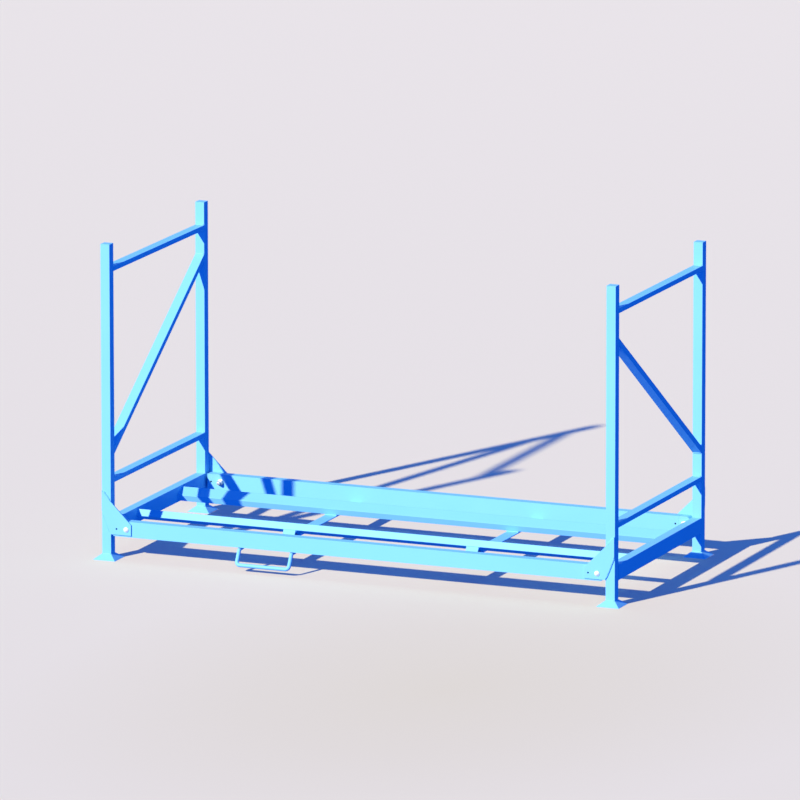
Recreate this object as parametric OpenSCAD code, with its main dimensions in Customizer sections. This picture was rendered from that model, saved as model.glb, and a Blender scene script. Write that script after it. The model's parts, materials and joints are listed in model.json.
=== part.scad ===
// Foldable tyre storage rack.
// A low base with two tilted cradle rails carries a row of tyres. Two end frames,
// hinged on bolts at the four corners, fold inwards over the base.
// Origin: floor level, centre of the footprint. +X along the row, +Y to the rear, +Z up.

/* [Overall] */
// Length over the posts, along the row of tyres
rack_l = 1682; // [1400:2:2000]
// Depth over the posts, front to rear
rack_w = 748; // [600:2:900]
// Height from the floor to the top of the posts
rack_h = 980; // [960:10:1400]

/* [Posts and feet] */
// Side of the square post tube
post_s = 30; // [30:1:36]
// Wall thickness of the tubes
wall = 2; // [1.5:0.5:3]
// Thickness of the flat cap welded on each post
cap_t = 3; // [2:0.5:5]
// How far the foot skirt flares out past each post face
flare = 22; // [12:1:24]
// Height of the foot skirt
foot_h = 17; // [16:1:20]
// Depth of the funnel inside the foot that sits over a post below
socket_h = 12.5; // [10:0.5:13]

/* [Base] */
// Height of the underside of the outer rails above the floor
rail_z = 74.5; // [74.5:0.5:90]
// Height of the outer rails and end beams
rail_h = 48; // [44:1:48]
// Thickness of the outer rails
rail_t = 30; // [26:1:30]
// Distance from the centre line to the top outer corner of a cradle rail
cradle_y = 171; // [150:1:200]
// Height of the top outer corner of a cradle rail
cradle_z = 117; // [114:1:118]
// Width of the cradle rail section
cradle_w = 45; // [40:1:46]
// Thickness of the cradle rail section
cradle_t = 22; // [20:1:22]
// Tilt of the cradle rails towards the tyres, in degrees
cradle_tilt = 25; // [20:1:28]
// Distance of each cross strap from the centre
strap_x = 301.5; // [200:0.5:400]
// Width of the cross straps and of the saddles on them
strap_w = 40; // [30:1:60]
// Thickness of the cross straps
strap_t = 3; // [3:1:6]

/* [End frames] */
// Height of the top face of the top bar
top_bar_z = 908; // [860:1:920]
// Height of the top face of the middle bar
mid_bar_z = 252; // [236:1:300]
// Height of the top and middle bars' section
bar_h = 15.5; // [14:0.5:20]
// Height of the diagonal's section
diag_h = 18; // [14:0.5:20]
// Height of the diagonal's centre line where it meets the high post
diag_hi = 806; // [700:1:820]
// Height of the diagonal's centre line where it meets the low post
diag_lo = 336; // [300:1:420]
// Thickness of the corner gusset plates
gusset_t = 4; // [3:0.5:6]

/* [Hinges] */
// Height of the hinge bolts
pivot_z = 98; // [98:0.5:99]
// Distance from the post's inner face to the bolt, low folding end
pivot_d_low = 26; // [26:0.5:28]
// Distance from the post's inner face to the bolt, high folding end
pivot_d_high = 52; // [50:0.5:56]
// Radius of the bolt shank
bolt_r = 5; // [4:0.5:5]
// Radial running clearance between bolt and bush
run_gap = 0.08; // [0.05:0.01:0.1]
// Radius of the hole for a lock pin
pin_r = 3; // [2.5:0.5:4]

/* [Pull handle] */
// Centre of the handle along the row
handle_x = -302; // [-420:0.5:420]
// Width of the handle between rod centres
handle_w = 172; // [120:1:200]
// Diameter of the handle rod
rod_d = 12; // [10:1:12]
// Height of the centre of the grip bar
grip_z = 24; // [18:1:30]

/* [Hidden] */
$fn = 48;
azure = [0.05, 0.47, 0.95];
zinc = [0.86, 0.88, 0.90];
hl = rack_l / 2;              // outer face of the posts in X
hw = rack_w / 2;              // outer face of the posts in Y
xi = hl - post_s;             // inner face of the posts in X
yi = hw - post_s;             // inner face of the posts in Y
rail_yo = hw - 0.5;           // outer face of the rails, just behind the gussets
rail_yi = rail_yo - rail_t;
rail_top = rail_z + rail_h;
px_low = xi - pivot_d_low;    // low folding hinge, at the right end
px_high = xi - pivot_d_high;  // high folding hinge, at the left end
pin_low = xi - 55;            // lock pin hole beside the low hinge
pin_high = xi - 20;           // lock pin hole beside the high hinge
block_r = pivot_d_low - 0.5;  // rounded rail end that clears the folding post
tube_xr = px_low - 18;        // right end of the rail tubes
tube_xl = -(xi - 10);         // left end of the rail tubes
end_plate_t = 2.5;
bush_r = 8;
beam_half = yi - 2;           // the end beams stop just short of the posts
strap_half = rail_yo - 16;

// Closed hollow box section along X, from x0 to x1, low corner at y0, z0
module tube_x(x0, x1, y0, z0, wy, hz, t) {
  difference() {
    translate([x0, y0, z0]) cube([x1 - x0, wy, hz]);
    translate([x0 - 1, y0 + t, z0 + t]) cube([x1 - x0 + 2, wy - 2 * t, hz - 2 * t]);
  }
}

// Cylinder along Y, centred on y
module cyl_y(x, y, z, r, l) {
  translate([x, y, z]) rotate([90, 0, 0]) cylinder(r = r, h = l, center = true);
}

// Outer rail at the front: s = -1, at the rear: s = 1
module outer_rail(s) {
  yc = s * (rail_yo + rail_yi) / 2;
  color(azure) difference() {
    tube_x(tube_xl, tube_xr, yc - rail_t / 2, rail_z, rail_t, rail_h, 2.5);
    cyl_y(-px_high, yc, pivot_z, bush_r, rail_t + 10);
    cyl_y(-pin_high, yc, pivot_z, pin_r, rail_t + 10);
    cyl_y(pin_low, yc, pivot_z, pin_r, rail_t + 10);
  }
}
module front_rail() outer_rail(-1);
module rear_rail() outer_rail(1);

// Flat plates that close the left ends of the rail tubes
module left_rail_end_plates() {
  color(azure) for (s = [-1, 1])
    translate([tube_xl - end_plate_t, s * (rail_yo + rail_yi) / 2 - rail_t / 2, rail_z])
      cube([end_plate_t, rail_t, rail_h]);
}

// Rounded solid ends of the rails, which the folding posts swing around
module right_rail_ends() {
  color(azure) for (s = [-1, 1]) {
    yc = s * (rail_yo + rail_yi) / 2;
    difference() {
      intersection() {
        union() {
          translate([tube_xr, yc - rail_t / 2, rail_z]) cube([px_low - tube_xr, rail_t, rail_h]);
          cyl_y(px_low, yc, pivot_z, block_r, rail_t);
        }
        translate([tube_xr, yc - rail_t / 2, rail_z]) cube([100, rail_t, rail_h]);
      }
      cyl_y(px_low, yc, pivot_z, bush_r, rail_t + 10);
    }
  }
}

// Plain bushes in the rails, one for each hinge bolt
module pivot_bushes() {
  color([0.75, 0.66, 0.42]) for (s = [-1, 1]) for (x = [-px_high, px_low])
    translate([0, s * (rail_yo + rail_yi) / 2, 0]) difference() {
      cyl_y(x, 0, pivot_z, bush_r, rail_t);
      cyl_y(x, 0, pivot_z, bolt_r + run_gap, rail_t + 10);
    }
}

// End beam between the posts, left: s = -1, right: s = 1
module end_beam(s) {
  xc = s * (hl - rail_t / 2);
  color(azure) difference() {
    translate([xc - rail_t / 2, -beam_half + 3, rail_z]) cube([rail_t, 2 * beam_half - 6, rail_h]);
    translate([xc - rail_t / 2 + 2.5, -beam_half, rail_z + 2.5]) cube([rail_t - 5, 2 * beam_half, rail_h - 5]);
  }
}
module left_end_beam() end_beam(-1);
module right_end_beam() end_beam(1);
module end_beam_caps() {
  color(azure) for (s = [-1, 1]) for (t = [-1, 1])
    translate([s * (hl - rail_t / 2) - rail_t / 2, t > 0 ? beam_half - 3 : -beam_half, rail_z])
      cube([rail_t, 3, rail_h]);
}

// Tilted hollow rail that the tyres rest on; the top outer corner is at cradle_y, cradle_z
module cradle_rail() {
  color(azure) translate([0, -cradle_y, cradle_z]) rotate([-cradle_tilt, 0, 0])
    tube_x(-(hl - rail_t), hl - rail_t, 0, -cradle_t, cradle_w, cradle_t, 2);
}
module front_cradle_rail() cradle_rail();
module rear_cradle_rail() mirror([0, 1, 0]) cradle_rail();

// Flat cross straps welded under the rails
module cross_strap(x) {
  color(azure) translate([x - strap_w / 2, -strap_half, rail_z - strap_t])
    cube([strap_w, 2 * strap_half, strap_t]);
}
module left_cross_strap() cross_strap(-strap_x);
module right_cross_strap() cross_strap(strap_x);

// Wedge brackets between the straps and the cradle rails, with a sloping front
fy = -cradle_y - cradle_t * sin(cradle_tilt);
fz = cradle_z - cradle_t * cos(cradle_tilt);
by = fy + cradle_w * cos(cradle_tilt);
bz = fz - cradle_w * sin(cradle_tilt);
module saddle_profile() {
  difference() {
    polygon([[fy - (fz - rail_z) * 0.66, rail_z], [fy, fz], [by, bz], [by, rail_z]]);
    polygon([[fy - 4, rail_z + 5], [fy + 1.5, fz - 8.5], [fy + 22, rail_z + 5]]);
  }
}
module cradle_saddles() {
  color(azure) for (s = [-1, 1]) for (x = [-strap_x, strap_x])
    translate([x - strap_w / 2, 0, 0]) mirror([0, s > 0 ? 1 : 0, 0])
      rotate([90, 0, 90]) linear_extrude(height = strap_w) saddle_profile();
}

// Bent rod handle under the front rail: a U that leans forward, with its ends turned back
hx = handle_w / 2;
bend_r = 11;                   // bend radius at the rod's centre line
ry = rail_yo - 8;              // where the legs leave the rail
gy = rail_yo + 16;             // the grip bar stands forward of the rail
leg_top = rail_z - rod_d / 2;
lean = atan((gy - ry) / (leg_top - grip_z));
leg_l = norm([gy - ry, leg_top - grip_z]);
top_cut = bend_r * tan((90 - lean) / 2);
// Points of one arc in the plane of unit vectors u, v about c, from angle 0 to a
function arc(c, u, v, a) = [for (i = [0:8]) c + bend_r * (u * cos(a * i / 8) + v * sin(a * i / 8))];
dn = [0, -sin(lean), -cos(lean)];  // down the leaning legs
function leg_path() = concat(
  [[-hx, ry - rail_yi + 2, 0]],
  arc([-hx, top_cut, -bend_r], [0, 0, 1], [0, -1, 0], 90 - lean),
  arc([-hx + bend_r, 0, 0] + dn * (leg_l - bend_r), [-1, 0, 0], dn, 90));
half = leg_path();
path = concat(half, [for (i = [len(half) - 1:-1:0]) [-half[i][0], half[i][1], half[i][2]]]);
function unit(v) = v / norm(v);
function heading(p, i) = unit(p[min(i + 1, len(p) - 1)] - p[max(i - 1, 0)]);
function frames(p, i = 0, n = [1, 0, 0], acc = []) = i == len(p) ? acc :
  let (t = heading(p, i), m = unit(n - (n * t) * t)) frames(p, i + 1, m, concat(acc, [[m, cross(t, m)]]));
module pull_handle() {
  k = 24;
  f = frames(path);
  pts = [for (i = [0:len(path) - 1]) for (j = [0:k - 1])
    path[i] + rod_d / 2 * (f[i][0] * cos(360 * j / k) + f[i][1] * sin(360 * j / k))];
  side = [for (i = [0:len(path) - 2]) for (j = [0:k - 1]) for (q = [0, 1])
    let (a = i * k + j, b = i * k + (j + 1) % k) q == 0 ? [a, a + k, b] : [b, a + k, b + k]];
  color(azure) translate([handle_x, -ry, leg_top])
    polyhedron(points = pts, faces = concat([[for (j = [0:k - 1]) j]], side,
      [[for (j = [k - 1:-1:0]) (len(path) - 1) * k + j]]), convexity = 6);
}

// Everything below is drawn at the right end and turned half a turn for the left end
module end(s) { rotate([0, 0, s > 0 ? 0 : 180]) children(); }

// Post tube; t = -1 at low y, 1 at high y
module post(s, t) {
  color(azure) end(s) translate([xi, t > 0 ? yi : -hw, foot_h]) difference() {
    cube([post_s, post_s, rack_h - foot_h - cap_t]);
    translate([wall, wall, -1]) cube([post_s - 2 * wall, post_s - 2 * wall, rack_h]);
  }
}
module post_caps(s) {
  color(azure) end(s) for (t = [-1, 1])
    translate([xi, t > 0 ? yi : -hw, rack_h - cap_t]) cube([post_s, post_s, cap_t]);
}
// Flared foot, open below, that also sits over the top of a post underneath
module foot(s, t) {
  a = post_s + 2 * flare;
  b = a - 6;
  c = post_s + 1;
  k = sqrt(2) / 2;
  color(azure) end(s) translate([hl - post_s / 2, t * (hw - post_s / 2), 0]) rotate([0, 0, 45])
    difference() {
      cylinder(r1 = a * k, r2 = post_s * k, h = foot_h, $fn = 4);
      translate([0, 0, -0.001]) cylinder(r1 = b * k, r2 = c * k, h = socket_h, $fn = 4);
    }
}
// Bar between the posts; its top face is at z
module bar(s, z) {
  color(azure) end(s) translate([xi, -yi, z - bar_h]) difference() {
    cube([post_s, 2 * yi, bar_h]);
    translate([1.5, -1, 1.5]) cube([post_s - 3, 2 * yi + 2, bar_h - 3]);
  }
}
// Diagonal between the posts, high at low y
module diagonal(s) {
  dv = diag_h / cos(atan((diag_hi - diag_lo) / (2 * yi))) / 2;
  di = (diag_h - 3) / cos(atan((diag_hi - diag_lo) / (2 * yi))) / 2;
  color(azure) end(s) difference() {
    translate([xi, 0, 0]) rotate([90, 0, 90]) linear_extrude(height = post_s)
      polygon([[-yi, diag_hi - dv], [yi, diag_lo - dv], [yi, diag_lo + dv], [-yi, diag_hi + dv]]);
    translate([xi + 1.5, 0, 0]) rotate([90, 0, 90]) linear_extrude(height = post_s - 3)
      polygon([[-yi - 1, diag_hi - di + 0.68], [yi + 1, diag_lo - di - 0.68], [yi + 1, diag_lo + di - 0.68], [-yi - 1, diag_hi + di + 0.68]]);
  }
}
// Corner plate with the bolt hole and the lock pin hole
module gusset(s, t) {
  bx = s > 0 ? px_low : px_high;
  lx = s > 0 ? pin_low : pin_high;
  gi = xi - 68;
  color(azure) end(s) difference() {
    translate([0, t > 0 ? hw + gusset_t : -hw, 0]) rotate([90, 0, 0]) linear_extrude(height = gusset_t)
      polygon([[gi, 80], [xi, 80], [hl - 1, 153], [hl - 1, 214], [xi, 182], [gi, 114]]);
    cyl_y(bx, t * (hw + gusset_t / 2), pivot_z, bolt_r, gusset_t + 10);
    cyl_y(lx, t * (hw + gusset_t / 2), pivot_z, pin_r, gusset_t + 10);
  }
}
// Domed bolt through the plate and the bush
module dome_bolt() {
  rotate_extrude() intersection() {
    difference() {
      union() {
        translate([0, -57]) square([bolt_r, 57]);
        square([8.3, 1.2]);
        translate([0, -5.2]) circle(r = 10.2);
      }
      translate([8.3, 0]) square([20, 20]);
      translate([bolt_r, -40]) square([20, 40]);
      translate([-20, -60]) square([20, 80]);
      translate([0, -80]) square([20, 26]);
    }
    translate([0, -56]) square([8.3, 70]);
  }
}
module pivot_bolts(s) {
  bx = s > 0 ? px_low : px_high;
  color(zinc) end(s) for (t = [-1, 1])
    translate([bx, t * (hw + gusset_t), pivot_z]) rotate([-90 * t, 0, 0]) dome_bolt();
}
module pivot_washers(s) {
  bx = s > 0 ? px_low : px_high;
  color(zinc) end(s) for (t = [-1, 1]) difference() {
    cyl_y(bx, t * (rail_yi - 0.3 - 1), pivot_z, 10.5, 2);
    cyl_y(bx, t * (rail_yi - 0.3 - 1), pivot_z, bolt_r, 10);
  }
}
module pivot_nuts(s) {
  bx = s > 0 ? px_low : px_high;
  color(zinc) end(s) for (t = [-1, 1]) difference() {
    translate([bx, t * (rail_yi - 2.3 - 4), pivot_z]) rotate([90, 0, 0])
      cylinder(r = 17 / sqrt(3), h = 8, center = true, $fn = 6);
    cyl_y(bx, t * (rail_yi - 6), pivot_z, bolt_r, 20);
  }
}

module left_front_post() post(-1, 1);
module left_rear_post() post(-1, -1);
module left_top_bar() bar(-1, top_bar_z);
module left_mid_bar() bar(-1, mid_bar_z);
module left_diagonal_brace() diagonal(-1);
module left_front_gusset() gusset(-1, 1);
module left_rear_gusset() gusset(-1, -1);
module left_front_foot() foot(-1, 1);
module left_rear_foot() foot(-1, -1);
module left_post_caps() post_caps(-1);
module left_pivot_bolts() pivot_bolts(-1);
module left_pivot_washers() pivot_washers(-1);
module left_pivot_nuts() pivot_nuts(-1);
module right_front_post() post(1, -1);
module right_rear_post() post(1, 1);
module right_top_bar() bar(1, top_bar_z);
module right_mid_bar() bar(1, mid_bar_z);
module right_diagonal_brace() diagonal(1);
module right_front_gusset() gusset(1, -1);
module right_rear_gusset() gusset(1, 1);
module right_front_foot() foot(1, -1);
module right_rear_foot() foot(1, 1);
module right_post_caps() post_caps(1);
module right_pivot_bolts() pivot_bolts(1);
module right_pivot_washers() pivot_washers(1);
module right_pivot_nuts() pivot_nuts(1);

front_rail();
rear_rail();
left_rail_end_plates();
right_rail_ends();
pivot_bushes();
left_end_beam();
right_end_beam();
end_beam_caps();
front_cradle_rail();
rear_cradle_rail();
left_cross_strap();
right_cross_strap();
cradle_saddles();
pull_handle();
left_front_post();
left_rear_post();
left_top_bar();
left_mid_bar();
left_diagonal_brace();
left_front_gusset();
left_rear_gusset();
left_front_foot();
left_rear_foot();
left_post_caps();
left_pivot_bolts();
left_pivot_washers();
left_pivot_nuts();
right_front_post();
right_rear_post();
right_top_bar();
right_mid_bar();
right_diagonal_brace();
right_front_gusset();
right_rear_gusset();
right_front_foot();
right_rear_foot();
right_post_caps();
right_pivot_bolts();
right_pivot_washers();
right_pivot_nuts();
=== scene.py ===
import json
import math

import bmesh
import bpy
from mathutils import Matrix, Vector


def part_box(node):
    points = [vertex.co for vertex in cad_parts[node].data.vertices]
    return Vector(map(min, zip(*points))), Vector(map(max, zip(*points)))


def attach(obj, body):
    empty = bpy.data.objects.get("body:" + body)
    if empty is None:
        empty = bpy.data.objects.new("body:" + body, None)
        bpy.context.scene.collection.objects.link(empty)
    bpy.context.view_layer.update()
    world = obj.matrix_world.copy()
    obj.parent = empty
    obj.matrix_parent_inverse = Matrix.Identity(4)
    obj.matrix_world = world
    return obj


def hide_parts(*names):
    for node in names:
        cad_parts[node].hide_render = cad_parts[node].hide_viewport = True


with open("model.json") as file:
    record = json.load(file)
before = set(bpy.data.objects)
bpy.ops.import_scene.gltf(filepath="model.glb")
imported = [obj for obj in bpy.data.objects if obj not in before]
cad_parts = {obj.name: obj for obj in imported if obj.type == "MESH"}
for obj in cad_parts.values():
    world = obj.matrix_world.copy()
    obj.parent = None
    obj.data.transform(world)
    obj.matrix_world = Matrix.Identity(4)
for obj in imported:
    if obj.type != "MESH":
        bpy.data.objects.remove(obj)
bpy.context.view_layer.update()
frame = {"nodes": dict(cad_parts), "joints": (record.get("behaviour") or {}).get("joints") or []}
NODES = frame["nodes"]


def vec(*a):
    return Vector(a)


# ------------------------------------------------------------------ key dimensions, from the frame
MM = 0.001
LOW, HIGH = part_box("right_front_post")
XI, XO = LOW.x, HIGH.x                      # inner and outer face of the posts in X
YO, YI = -LOW.y, -HIGH.y                    # outer and inner face of the posts in Y
RL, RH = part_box("front_rail")
RAIL_Z0, RAIL_Z1 = RL.z, RH.z
RAIL_YO, RAIL_YI = -RL.y, -RH.y
FOOT_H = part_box("right_front_foot")[1].z
STRAP_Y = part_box("left_cross_strap")[1].y
PLATE = -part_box("right_front_gusset")[0].y - YO   # thickness of the corner plates
JOINTS = {j["name"]: j for j in frame["joints"]}
PIV_L = Vector(JOINTS["left_frame_fold"]["pos_m"])
PIV_R = Vector(JOINTS["right_frame_fold"]["pos_m"])


# ------------------------------------------------------------------ materials
def new_mat(name):
    m = bpy.data.materials.new(name)
    m.use_nodes = True
    nt = m.node_tree
    nt.nodes.clear()
    out = nt.nodes.new("ShaderNodeOutputMaterial")
    bsdf = nt.nodes.new("ShaderNodeBsdfPrincipled")
    nt.links.new(bsdf.outputs["BSDF"], out.inputs["Surface"])
    return m, nt, bsdf


def noise(nt, coord, scale, detail=2.0, rough=0.5):
    n = nt.nodes.new("ShaderNodeTexNoise")
    n.inputs["Scale"].default_value = scale
    n.inputs["Detail"].default_value = detail
    n.inputs["Roughness"].default_value = rough
    nt.links.new(coord, n.inputs["Vector"])
    return n.outputs["Fac"]


def ramp(nt, fac, stops):
    r = nt.nodes.new("ShaderNodeValToRGB")
    els = r.color_ramp.elements
    while len(els) < len(stops):
        els.new(0.5)
    for e, (p, c) in zip(els, stops):
        e.position = p
        e.color = (*c, 1.0)
    nt.links.new(fac, r.inputs["Fac"])
    return r.outputs["Color"]


def map_range(nt, fac, lo, hi, a=0.0, b=1.0):
    m = nt.nodes.new("ShaderNodeMapRange")
    m.inputs["From Min"].default_value = a
    m.inputs["From Max"].default_value = b
    m.inputs["To Min"].default_value = lo
    m.inputs["To Max"].default_value = hi
    nt.links.new(fac, m.inputs["Value"])
    return m.outputs["Result"]


def bump(nt, bsdf, heights):
    """heights: list of (height socket, strength, distance in metres), chained."""
    last = None
    for h, s, d in heights:
        b = nt.nodes.new("ShaderNodeBump")
        b.inputs["Strength"].default_value = s
        b.inputs["Distance"].default_value = d
        nt.links.new(h, b.inputs["Height"])
        if last is not None:
            nt.links.new(last, b.inputs["Normal"])
        last = b.outputs["Normal"]
    nt.links.new(last, bsdf.inputs["Normal"])


def powder_coat(name, light, dark, weld=False):
    """Satin powder coat: orange peel, faint cloudiness in colour and gloss, a fine speckle of texture."""
    m, nt, b = new_mat(name)
    tc = nt.nodes.new("ShaderNodeTexCoord").outputs["Object"]
    cloud = noise(nt, tc, 6.0, 3.0, 0.55)
    peel = noise(nt, tc, 520.0, 1.5, 0.4)
    fine = noise(nt, tc, 2100.0, 2.0, 0.6)
    mix = nt.nodes.new("ShaderNodeMath")
    mix.operation = "MULTIPLY_ADD"
    nt.links.new(peel, mix.inputs[0])
    mix.inputs[1].default_value = 0.30
    nt.links.new(map_range(nt, cloud, 0.0, 0.7), mix.inputs[2])
    nt.links.new(ramp(nt, mix.outputs[0], [(0.25, dark), (0.75, light)]), b.inputs["Base Color"])
    rmix = nt.nodes.new("ShaderNodeMath")
    rmix.operation = "ADD"
    nt.links.new(map_range(nt, cloud, 0.40, 0.50, 0.3, 0.7), rmix.inputs[0])
    nt.links.new(map_range(nt, fine, -0.03, 0.05, 0.3, 0.7), rmix.inputs[1])
    nt.links.new(rmix.outputs[0], b.inputs["Roughness"])
    b.inputs["Specular IOR Level"].default_value = 0.12
    hs = [(peel, 0.30, 0.00022), (fine, 0.16, 0.00006)]
    if weld:
        hs.append((noise(nt, tc, 900.0, 3.0, 0.6), 0.35, 0.0003))
    bump(nt, b, hs)
    return m


def zinc(name, tint=(0.90, 0.92, 0.95), dark=(0.70, 0.73, 0.78), metallic=0.85, rough=0.38):
    """Bright zinc plate: fine crystalline mottling and soft turning marks."""
    m, nt, b = new_mat(name)
    tc = nt.nodes.new("ShaderNodeTexCoord").outputs["Object"]
    vor = nt.nodes.new("ShaderNodeTexVoronoi")
    vor.inputs["Scale"].default_value = 900.0
    nt.links.new(tc, vor.inputs["Vector"])
    n1 = noise(nt, tc, 260.0, 4.0, 0.6)
    add = nt.nodes.new("ShaderNodeMath")
    add.operation = "MULTIPLY_ADD"
    nt.links.new(vor.outputs["Distance"], add.inputs[0])
    add.inputs[1].default_value = 0.35
    nt.links.new(n1, add.inputs[2])
    nt.links.new(ramp(nt, add.outputs[0], [(0.30, dark), (0.75, tint)]), b.inputs["Base Color"])
    nt.links.new(map_range(nt, n1, rough - 0.08, rough + 0.10, 0.3, 0.7), b.inputs["Roughness"])
    b.inputs["Metallic"].default_value = metallic
    bump(nt, b, [(n1, 0.2, 0.00008), (vor.outputs["Distance"], 0.12, 0.00004)])
    return m


def bronze(name):
    """Oiled sintered bronze: porous grain."""
    m, nt, b = new_mat(name)
    tc = nt.nodes.new("ShaderNodeTexCoord").outputs["Object"]
    n1 = noise(nt, tc, 1800.0, 3.0, 0.7)
    n2 = noise(nt, tc, 120.0, 3.0, 0.5)
    nt.links.new(ramp(nt, n2, [(0.3, (0.36, 0.22, 0.09)), (0.7, (0.58, 0.40, 0.18))]), b.inputs["Base Color"])
    nt.links.new(map_range(nt, n1, 0.32, 0.52, 0.3, 0.7), b.inputs["Roughness"])
    b.inputs["Metallic"].default_value = 0.9
    bump(nt, b, [(n1, 0.35, 0.00012)])
    return m


AZURE = powder_coat("azure_powder_coat", (0.220, 0.592, 0.880), (0.205, 0.568, 0.855))
AZURE_WELD = powder_coat("azure_powder_coat_on_weld", (0.213, 0.584, 0.872), (0.190, 0.552, 0.840), weld=True)
ZINC = zinc("zinc_plate")
ZINC_DOME = zinc("zinc_plate_dome", (0.97, 0.97, 0.98), (0.90, 0.91, 0.92), metallic=0.25, rough=0.42)
BRONZE = bronze("sintered_bronze")


# ------------------------------------------------------------------ CAD nodes: material, soft edges, shading
def dress(o, mat, width, segs=3, angle=28.0):
    o.data.materials.clear()
    o.data.materials.append(mat)
    for p in o.data.polygons:
        p.use_smooth = True
    j = o.modifiers.new("join", "WELD")
    j.merge_threshold = 0.00002
    d = o.modifiers.new("planes", "DECIMATE")
    d.decimate_type = "DISSOLVE"
    d.angle_limit = math.radians(1.0)
    d.delimit = {"SHARP"}
    w = o.modifiers.new("edges", "BEVEL")
    w.width = width
    w.segments = segs
    w.limit_method = "ANGLE"
    w.angle_limit = math.radians(angle)
    w.miter_outer = "MITER_ARC"
    w.use_clamp_overlap = True
    q = o.modifiers.new("flat faces", "WEIGHTED_NORMAL")
    q.mode = "FACE_AREA"
    q.weight = 100
    q.keep_sharp = False


EDGE = {
    "post": 0.0026, "rail": 0.0030, "beam": 0.0030, "bar": 0.0020, "brace": 0.0020,
    "strap": 0.0008, "gusset": 0.0007, "foot": 0.0007, "caps": 0.0006, "plates": 0.0006,
    "saddles": 0.0010, "ends": 0.0008, "bushes": 0.0004, "washers": 0.0004,
}
for name, o in NODES.items():
    if "bolt" in name:
        dress(o, ZINC_DOME, 0.0004, 2, 40.0)
    elif "washers" in name or "nuts" in name:
        dress(o, ZINC, 0.0004, 2, 40.0)
    elif "bushes" in name:
        dress(o, BRONZE, 0.0004, 2, 40.0)
    else:
        width = 0.0010
        for k, v in EDGE.items():
            if k in name.split("_")[-1]:
                width = v
        dress(o, AZURE, width)


# ------------------------------------------------------------------ mesh helpers
def make_object(name, verts, faces, mat, body, smooth=True):
    me = bpy.data.meshes.new(name)
    me.from_pydata([tuple(v) for v in verts], [], faces)
    me.materials.append(mat)
    o = bpy.data.objects.new(name, me)
    bpy.context.scene.collection.objects.link(o)
    bm = bmesh.new()
    bm.from_mesh(me)
    bmesh.ops.recalc_face_normals(bm, faces=bm.faces)
    bm.to_mesh(me)
    bm.free()
    for p in me.polygons:
        p.use_smooth = smooth
    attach(o, body)
    return o


class Mesh:
    """Collects closed pieces of one object."""

    def __init__(self):
        self.v, self.f = [], []

    def rings(self, rings, closed_ends=True):
        k = len(rings[0])
        base = len(self.v)
        for r in rings:
            self.v.extend(r)
        for i in range(len(rings) - 1):
            for j in range(k):
                a = base + i * k + j
                b = base + i * k + (j + 1) % k
                self.f.append((a, b, b + k, a + k))
        if closed_ends:
            self.f.append(tuple(base + j for j in range(k))[::-1])
            self.f.append(tuple(base + (len(rings) - 1) * k + j for j in range(k)))


# ------------------------------------------------------------------ weld beads
def bead(mesh, a, b, u, v, r, seed=0, pitch=0.0030, step=0.0005):
    """One fillet weld along the corner line a to b. u and v point along the two surfaces, away from the corner."""
    a, b, u, v = Vector(a), Vector(b), Vector(u).normalized(), Vector(v).normalized()
    d = b - a
    length = d.length
    d.normalize()
    n = max(6, int(length / step))
    arc = 7
    rings = []
    for i in range(n + 1):
        t = length * i / n
        end = min(t, length - t)
        taper = min(1.0, math.sqrt(max(end, 0.0) / (1.1 * r)) * 0.75 + 0.25)
        wob = 1.0 + 0.05 * math.sin(t * 410.0 + seed * 1.7) + 0.04 * math.sin(t * 173.0 + seed * 2.9)
        ring = [a + d * t - (u + v) * (0.12 * r)]
        for j in range(arc):
            ph = math.radians(-6.0 + 102.0 * j / (arc - 1))
            q = (t + 0.45 * r * math.sin(2 * max(0.0, min(math.pi / 2, ph))) + seed * 0.0011) / pitch
            s = 2.0 * (q - math.floor(q)) - 1.0
            rr = r * taper * wob * (0.90 + 0.13 * math.sqrt(max(0.0, 1.0 - s * s)))
            flat = 0.90 + 0.10 * abs(math.cos(2 * ph))
            ring.append(a + d * t + (u * math.cos(ph) + v * math.sin(ph)) * rr * flat)
        rings.append(ring)
    mesh.rings(rings)


def turn(p, s):
    """Half turn about Z for the left end."""
    return Vector((p[0] * s, p[1] * s, p[2]))


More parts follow.
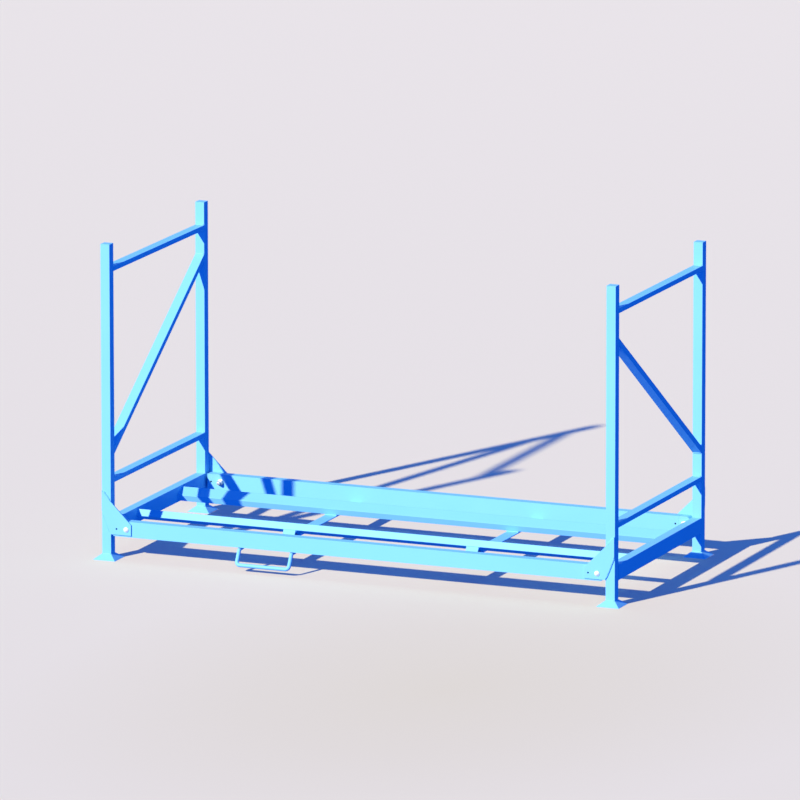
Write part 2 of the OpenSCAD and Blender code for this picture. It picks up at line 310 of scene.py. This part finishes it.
X, Y, Z = vec(1, 0, 0), vec(0, 1, 0), vec(0, 0, 1)
for side, s in (("right", 1), ("left", -1)):
    m = Mesh()
    k = 0
    # bars to posts: above and below each bar
    for bar in ("top_bar", "mid_bar"):
        lo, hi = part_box(f"{side}_{bar}")
        for t in (-1, 1):
            for z, up in ((hi.z, 1), (lo.z, -1)):
                k += 1
                bead(m, turn((XI + 0.0015, t * YI, z), s), turn((XO - 0.0015, t * YI, z), s),
                     turn((0, -t, 0), s), vec(0, 0, up), 0.0034, k)
    # diagonal to posts
    lo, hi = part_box(f"{side}_diagonal_brace")
    slope = 470.0 / 688.0
    dv = 0.0109
    for t, zc in ((-1, 0.806), (1, 0.336)):
        along = turn((0, -t, -slope if t < 0 else slope), s)
        for up in (1, -1):
            k += 1
            bead(m, turn((XI + 0.0015, t * YI, zc + up * dv), s), turn((XO - 0.0015, t * YI, zc + up * dv), s),
                 along, vec(0, 0, up), 0.0034, k)
    # gusset's top edge on the post's outer face
    for t in (-1, 1):
        k += 1
        a = turn((XI + 0.0035, t * YO, 0.18376), s)
        b = turn((XO - 0.0035, t * YO, 0.21179), s)
        n_out = turn((-32.0, 0, 29.0), s)
        bead(m, a, b, n_out, turn((0, t, 0), s), PLATE * 0.95, k)
        # gusset's lower edge on the post's outer face
        k += 1
        bead(m, turn((XI + 0.0022, t * YO, 0.0855), s), turn((XO - 0.0026, t * YO, 0.1489), s),
             turn((73.0, 0, -29.0), s), turn((0, t, 0), s), PLATE * 0.95, k)
        # gusset's edge to the post's outer side, tucked into the corner
        k += 1
        bead(m, turn((XO - 0.001, t * YO, 0.158), s), turn((XO - 0.001, t * YO, 0.209), s),
             turn((1, 0, 0), s) * 1.0, turn((0, t, 0), s), 0.0010, k)
    # foot skirt to post, all round
    for t in (-1, 1):
        cx, cy = (XI + XO) / 2, t * (YI + YO) / 2
        h = (XO - XI) / 2
        for dx, dy in ((1, 0), (-1, 0), (0, 1), (0, -1)):
            k += 1
            if dx:
                a = (cx + dx * h, cy - h + 0.002, FOOT_H)
                b = (cx + dx * h, cy + h - 0.002, FOOT_H)
            else:
                a = (cx - h + 0.002, cy + dy * h, FOOT_H)
                b = (cx + h - 0.002, cy + dy * h, FOOT_H)
            bead(m, turn(a, s), turn(b, s), turn((dx * 22.0, dy * 22.0, -17.0), s), Z, 0.0022, k)
    make_object(f"{side}_frame_welds", m.v, m.f, AZURE_WELD, f"{side}_end_frame")

# base welds
m = Mesh()
k = 0
CY, CZ, CW, CT, TILT = 0.171, 0.117, 0.045, 0.022, math.radians(25.0)
su, cu = math.sin(TILT), math.cos(TILT)
for t in (-1, 1):
    def yz(p):
        return Vector((0.0, -t * p[0], p[1]))
    # section corners in (inward, up): T top outer, F front lower, B bottom, I inner top
    T_ = (-CY, CZ)
    F_ = (-CY - CT * su, CZ - CT * cu)
    B_ = (F_[0] + CW * cu, F_[1] - CW * su)
    I_ = (-CY + CW * cu, CZ - CW * su)
    n_top, n_bot = (su, cu), (-su, -cu)
    n_out, n_in = (-cu, su), (cu, -su)
    for e in (-1, 1):
        for p, q, n in ((T_, I_, n_top), (F_, B_, n_bot), (T_, F_, n_out), (I_, B_, n_in)):
            k += 1
            a = yz(p) + vec(e * XI, 0, 0)
            b = yz(q) + vec(e * XI, 0, 0)
            dd = (b - a).normalized() * 0.0022
            nn = Vector((0.0, -t * n[0], n[1]))
            bead(m, a + dd, b - dd, nn, vec(-e, 0, 0), 0.0036, k)
    for x in (-0.3015, 0.3015):
        for e in (-1, 1):
            # saddle's side to the underside of the cradle rail
            k += 1
            a = yz((F_[0] + 0.002, F_[1] - 0.002 * su / cu)) + vec(x + e * 0.020, 0, 0)
            b = yz((B_[0] - 0.003, B_[1] + 0.003 * su / cu)) + vec(x + e * 0.020, 0, 0)
            bead(m, a, b, vec(e, 0, 0), Vector((0, -t * n_bot[0], n_bot[1])), 0.0034, k)
            # strap's sides to the rail's underside
            k += 1
            bead(m, vec(x + e * 0.020, t * (RAIL_YI + 0.002), RAIL_Z0), vec(x + e * 0.020, t * (STRAP_Y - 0.0015), RAIL_Z0),
                 vec(e, 0, 0), vec(0, 0, -1), 0.0026, k)
        # strap's end to the rail's underside
        k += 1
        bead(m, vec(x - 0.018, t * STRAP_Y, RAIL_Z0), vec(x + 0.018, t * STRAP_Y, RAIL_Z0),
             vec(0, t, 0), vec(0, 0, -1), 0.0025, k)
        # saddle's sloping front to the strap
        k += 1
        y0 = -CY - CT * su - (CZ - CT * cu - RAIL_Z0) * 0.66
        bead(m, vec(x - 0.018, -t * y0, RAIL_Z0), vec(x + 0.018, -t * y0, RAIL_Z0),
             vec(0, t, 0), Vector((0, -t * 0.66, 1.0)), 0.0030, k)
# handle ends under the rail
HXC, HHW, ROD = -0.3020, 0.0860, 0.006
for e in (-1, 1):
    for g in (-1, 1):
        k += 1
        x = HXC + e * HHW + g * 0.0028
        bead(m, vec(x, -RAIL_YI - 0.0005, RAIL_Z0), vec(x, -RAIL_YO + 0.016, RAIL_Z0), vec(g, 0, 0), vec(0, 0, -1), 0.0034, k)
make_object("base_welds", m.v, m.f, AZURE_WELD, "base")


# ------------------------------------------------------------------ pull handle: smooth bent rod
def sweep(mesh, pts, r, k=40, first_normal=vec(1, 0, 0)):
    n = first_normal
    rings = []
    for i, p in enumerate(pts):
        t = (pts[min(i + 1, len(pts) - 1)] - pts[max(i - 1, 0)]).normalized()
        n = (n - t * n.dot(t)).normalized()
        w = t.cross(n)
        rr = r[i] if isinstance(r, list) else r
        rings.append([p + n * (rr * math.cos(2 * math.pi * j / k)) + w * (rr * math.sin(2 * math.pi * j / k)) for j in range(k)])
    mesh.rings(rings)


def arc_pts(c, u, v, a, r, n=20):
    return [c + (u * math.cos(a * i / n) + v * math.sin(a * i / n)) * r for i in range(n + 1)]


bend_r = 0.011
ry, gy = RAIL_YO - 0.008, RAIL_YO + 0.016
leg_top, grip_z = RAIL_Z0 - ROD, 0.024
lean = math.atan2(gy - ry, leg_top - grip_z)
leg_l = math.hypot(gy - ry, leg_top - grip_z)
top_cut = bend_r * math.tan((math.pi / 2 - lean) / 2)
dn = vec(0, -math.sin(lean), -math.cos(lean))
o0 = vec(0, -ry, leg_top)
stub = ry - RAIL_YI + 0.002
half = []
for q in (0.0, 0.0003, 0.0008):
    half.append(vec(-HHW, stub - q, 0))
half += [vec(-HHW, stub * 0.6, 0)]
half += arc_pts(vec(-HHW, top_cut, -bend_r), Z, -Y, math.pi / 2 - lean, bend_r)
leg_a, leg_b = half[-1], vec(-HHW, 0, 0) + dn * (leg_l - bend_r)
half += [leg_a.lerp(leg_b, 0.5)]
half += arc_pts(vec(-HHW + bend_r, 0, 0) + dn * (leg_l - bend_r), -X, dn, math.pi / 2, bend_r)
path = [p + o0 + vec(HXC, 0, 0) for p in half]
path += [vec(2 * HXC - p.x, p.y, p.z) for p in reversed(path)]
rad = [ROD] * len(path)
rad[0] = rad[-1] = ROD - 0.0008
rad[1] = rad[-2] = ROD - 0.0003
m = Mesh()
sweep(m, path, rad)
handle = make_object("bent_rod_handle", m.v, m.f, AZURE, "base")
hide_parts("pull_handle")


# ------------------------------------------------------------------ hardware: hex nuts with chamfers, rolled thread
def hex_nut(mesh, centre, axis, flats=0.017, h=0.008, bore=0.0051, spin=0.0):
    """Hex nut along axis (a Y direction), with 30 degree chamfers and a countersunk bore."""
    k = 72
    r_ch = flats / 2 * 0.985
    tan30 = math.tan(math.radians(30))

    def hexr(a):
        b = (a + spin) % (math.pi / 3) - math.pi / 6
        return flats / 2 / math.cos(b)

    def ring(f_r, f_y):
        out = []
        for j in range(k):
            a = 2 * math.pi * j / k
            r = f_r(a)
            out.append(centre + vec(r * math.cos(a), 0, r * math.sin(a)) + Y * (axis * f_y(a)))
        return out

    drop = lambda a: max(0.0, hexr(a) - r_ch) * tan30
    prof = [
        (lambda a: bore, lambda a: -h / 2 + 0.0009),
        (lambda a: bore + 0.0009, lambda a: -h / 2),
        (lambda a: r_ch - 0.0004, lambda a: -h / 2),
        (lambda a: min(hexr(a), r_ch), lambda a: -h / 2 + 0.0001),
        (lambda a: hexr(a), lambda a: -h / 2 + drop(a) + 0.0002),
        (lambda a: hexr(a), lambda a: h / 2 - drop(a) - 0.0002),
        (lambda a: min(hexr(a), r_ch), lambda a: h / 2 - 0.0001),
        (lambda a: r_ch - 0.0004, lambda a: h / 2),
        (lambda a: bore + 0.0009, lambda a: h / 2),
        (lambda a: bore, lambda a: h / 2 - 0.0009),
    ]
    rings = [ring(*p) for p in prof]
    base = len(mesh.v)
    for r in rings:
        mesh.v.extend(r)
    n = len(rings)
    for i in range(n):
        for j in range(k):
            a = base + i * k + j
            b = base + i * k + (j + 1) % k
            c = base + ((i + 1) % n) * k + (j + 1) % k
            d = base + ((i + 1) % n) * k + j
            mesh.f.append((a, b, c, d))


def thread(mesh, centre, y0, y1, r=0.0050, depth=0.00055, pitch=0.0015):
    """Rolled thread on a rod along Y: a helical ridge around the bolt's end, domed at the tip."""
    k = 48
    n = max(8, int(abs(y1 - y0) / (pitch / 8)))
    sgn = 1 if y1 > y0 else -1
    rings = []
    for i in range(n + 1):
        y = y0 + (y1 - y0) * i / n
        left = abs(y1 - y)
        ring = []
        for j in range(k):
            a = 2 * math.pi * j / k
            q = (y / pitch + j / k) % 1.0
            tri = 1.0 - abs(2 * q - 1.0)
            rr = r + depth * (tri - 0.35)
            if left < 0.0012:
                rr = min(rr, r + depth * 0.5 - 0.0011 * (1 - left / 0.0012))
            ring.append(vec(centre.x + rr * math.cos(a), y, centre.z + rr * math.sin(a)))
        rings.append(ring)
    cap = [vec(centre.x + (p.x - centre.x) * 0.55, y1 + sgn * 0.0003, centre.z + (p.z - centre.z) * 0.55) for p in rings[-1]]
    rings.append(cap)
    mesh.rings(rings)


for side, piv in (("left", PIV_L), ("right", PIV_R)):
    m = Mesh()
    mt = Mesh()
    for t in (-1, 1):
        yn = t * (RAIL_YI - 0.0023 - 0.004)
        hex_nut(m, vec(piv.x, yn, piv.z), t, spin=0.3 * t)
        thread(mt, piv, t * (RAIL_YI - 0.0023 - 0.0078), t * (YO + PLATE - 0.0542))
    nuts = make_object(f"{side}_hex_nuts", m.v, m.f, ZINC, f"{side}_end_frame")
    sm = nuts.modifiers.new("edges", "BEVEL")
    sm.width, sm.segments, sm.limit_method, sm.angle_limit = 0.00025, 2, "ANGLE", math.radians(25)
    sm.harden_normals = True
    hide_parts(f"{side}_pivot_nuts")
    th = make_object(f"{side}_bolt_threads", mt.v, mt.f, ZINC, f"{side}_end_frame")


# ------------------------------------------------------------------ floor, light, camera
def stage_floor():
    me = bpy.data.meshes.new("floor")
    a = 60.0
    me.from_pydata([(-a, -a, 0), (a, -a, 0), (a, a, 0), (-a, a, 0)], [], [(0, 1, 2, 3)])
    mat, nt, b = new_mat("floor_paper")
    tc = nt.nodes.new("ShaderNodeTexCoord").outputs["Object"]
    sep = nt.nodes.new("ShaderNodeSeparateXYZ")
    nt.links.new(tc, sep.inputs[0])
    g = map_range(nt, sep.outputs["Y"], 0.0, 1.0, -3.0, 9.0)
    col = ramp(nt, g, [(0.0, (0.822, 0.748, 0.560)), (0.35, (0.835, 0.760, 0.568)), (1.0, (0.862, 0.783, 0.583))])
    # painted shade: the floor is slightly darker and warmer in front of and under the rack
    fit = nt.nodes.new("ShaderNodeMapping")
    fit.inputs["Location"].default_value = (-0.70, 0.95, 0.0)
    fit.inputs["Scale"].default_value = (0.90, 0.62, 1.0)
    nt.links.new(tc, fit.inputs["Vector"])
    ln = nt.nodes.new("ShaderNodeVectorMath")
    ln.operation = "LENGTH"
    nt.links.new(fit.outputs["Vector"], ln.inputs[0])
    near_shade = ramp(nt, map_range(nt, ln.outputs["Value"], 0.0, 1.0, 0.0, 1.1),
                [(0.0, (0.937, 0.930, 0.868)), (0.45, (0.955, 0.950, 0.915)), (1.0, (1.0, 1.0, 1.0))])
    mul = nt.nodes.new("ShaderNodeMixRGB")
    mul.blend_type = "MULTIPLY"
    mul.inputs["Fac"].default_value = 1.0
    nt.links.new(col, mul.inputs["Color1"])
    nt.links.new(near_shade, mul.inputs["Color2"])
    nt.links.new(mul.outputs["Color"], b.inputs["Base Color"])
    b.inputs["Roughness"].default_value = 0.75
    b.inputs["Specular IOR Level"].default_value = 0.0
    # painted light: a faint red glow lifts the red in the floor's shadows
    b.inputs["Emission Color"].default_value = (1.0, 0.05, 0.0, 1.0)
    b.inputs["Emission Strength"].default_value = 0.03
    me.materials.append(mat)
    o = bpy.data.objects.new("floor", me)
    bpy.context.scene.collection.objects.link(o)
    o.visible_diffuse = False
    o.visible_glossy = False


stage_floor()

sc = bpy.context.scene
world = bpy.data.worlds.new("studio")
sc.world = world
world.use_nodes = True
bg = world.node_tree.nodes.get("Background") or world.node_tree.nodes.new("ShaderNodeBackground")
wn = world.node_tree
lp = wn.nodes.new("ShaderNodeLightPath")
wsep = wn.nodes.new("ShaderNodeSeparateXYZ")
wn.links.new(wn.nodes.new("ShaderNodeTexCoord").outputs["Generated"], wsep.inputs[0])
sheen = ramp(wn, map_range(wn, wsep.outputs["Z"], 0.0, 1.0, -0.5, 0.5),
             [(0.0, (0.02, 0.06, 0.26)), (0.42, (0.02, 0.08, 0.34)), (0.60, (0.32, 0.85, 0.90)), (1.0, (0.26, 0.52, 0.80))])
wmix = wn.nodes.new("ShaderNodeMixRGB")
wn.links.new(lp.outputs["Is Glossy Ray"], wmix.inputs["Fac"])
wmix.inputs["Color1"].default_value = (0.010, 0.166, 0.820, 1.0)
wn.links.new(sheen, wmix.inputs["Color2"])
wn.links.new(wmix.outputs["Color"], bg.inputs["Color"])
bg.inputs["Strength"].default_value = 1.0

sun = bpy.data.lights.new("key_sun", "SUN")
sun.energy = 5.8
sun.color = (1.0, 0.915, 0.65)
sun.angle = math.radians(1.2)
so = bpy.data.objects.new("key_sun", sun)
so.rotation_euler = vec(0.337, 0.805, -0.488).to_track_quat("-Z", "Y").to_euler()
sc.collection.objects.link(so)

cam = bpy.data.cameras.new("camera")
cam.sensor_width = 36.0
cam.lens = 515.88
cam.clip_start = 1.0
cam.clip_end = 300.0
co = bpy.data.objects.new("camera", cam)
sc.collection.objects.link(co)
CAM_R = ((0.9230054, 0.3847864, -0.0005943), (-0.0803775, 0.1943155, 0.9776405), (0.3762983, -0.9023197, 0.2102824))
CAM_C = (13.1276, -31.5068, 7.8320)
rot = Matrix(CAM_R).transposed()
co.matrix_world = Matrix.Translation(CAM_C) @ rot.to_4x4()
sc.camera = co
sc.view_settings.view_transform = "Standard"
sc.view_settings.look = "None"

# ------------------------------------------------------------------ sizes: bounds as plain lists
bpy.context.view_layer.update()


def flat(b):
    return [[float(c) for c in p] for p in b]
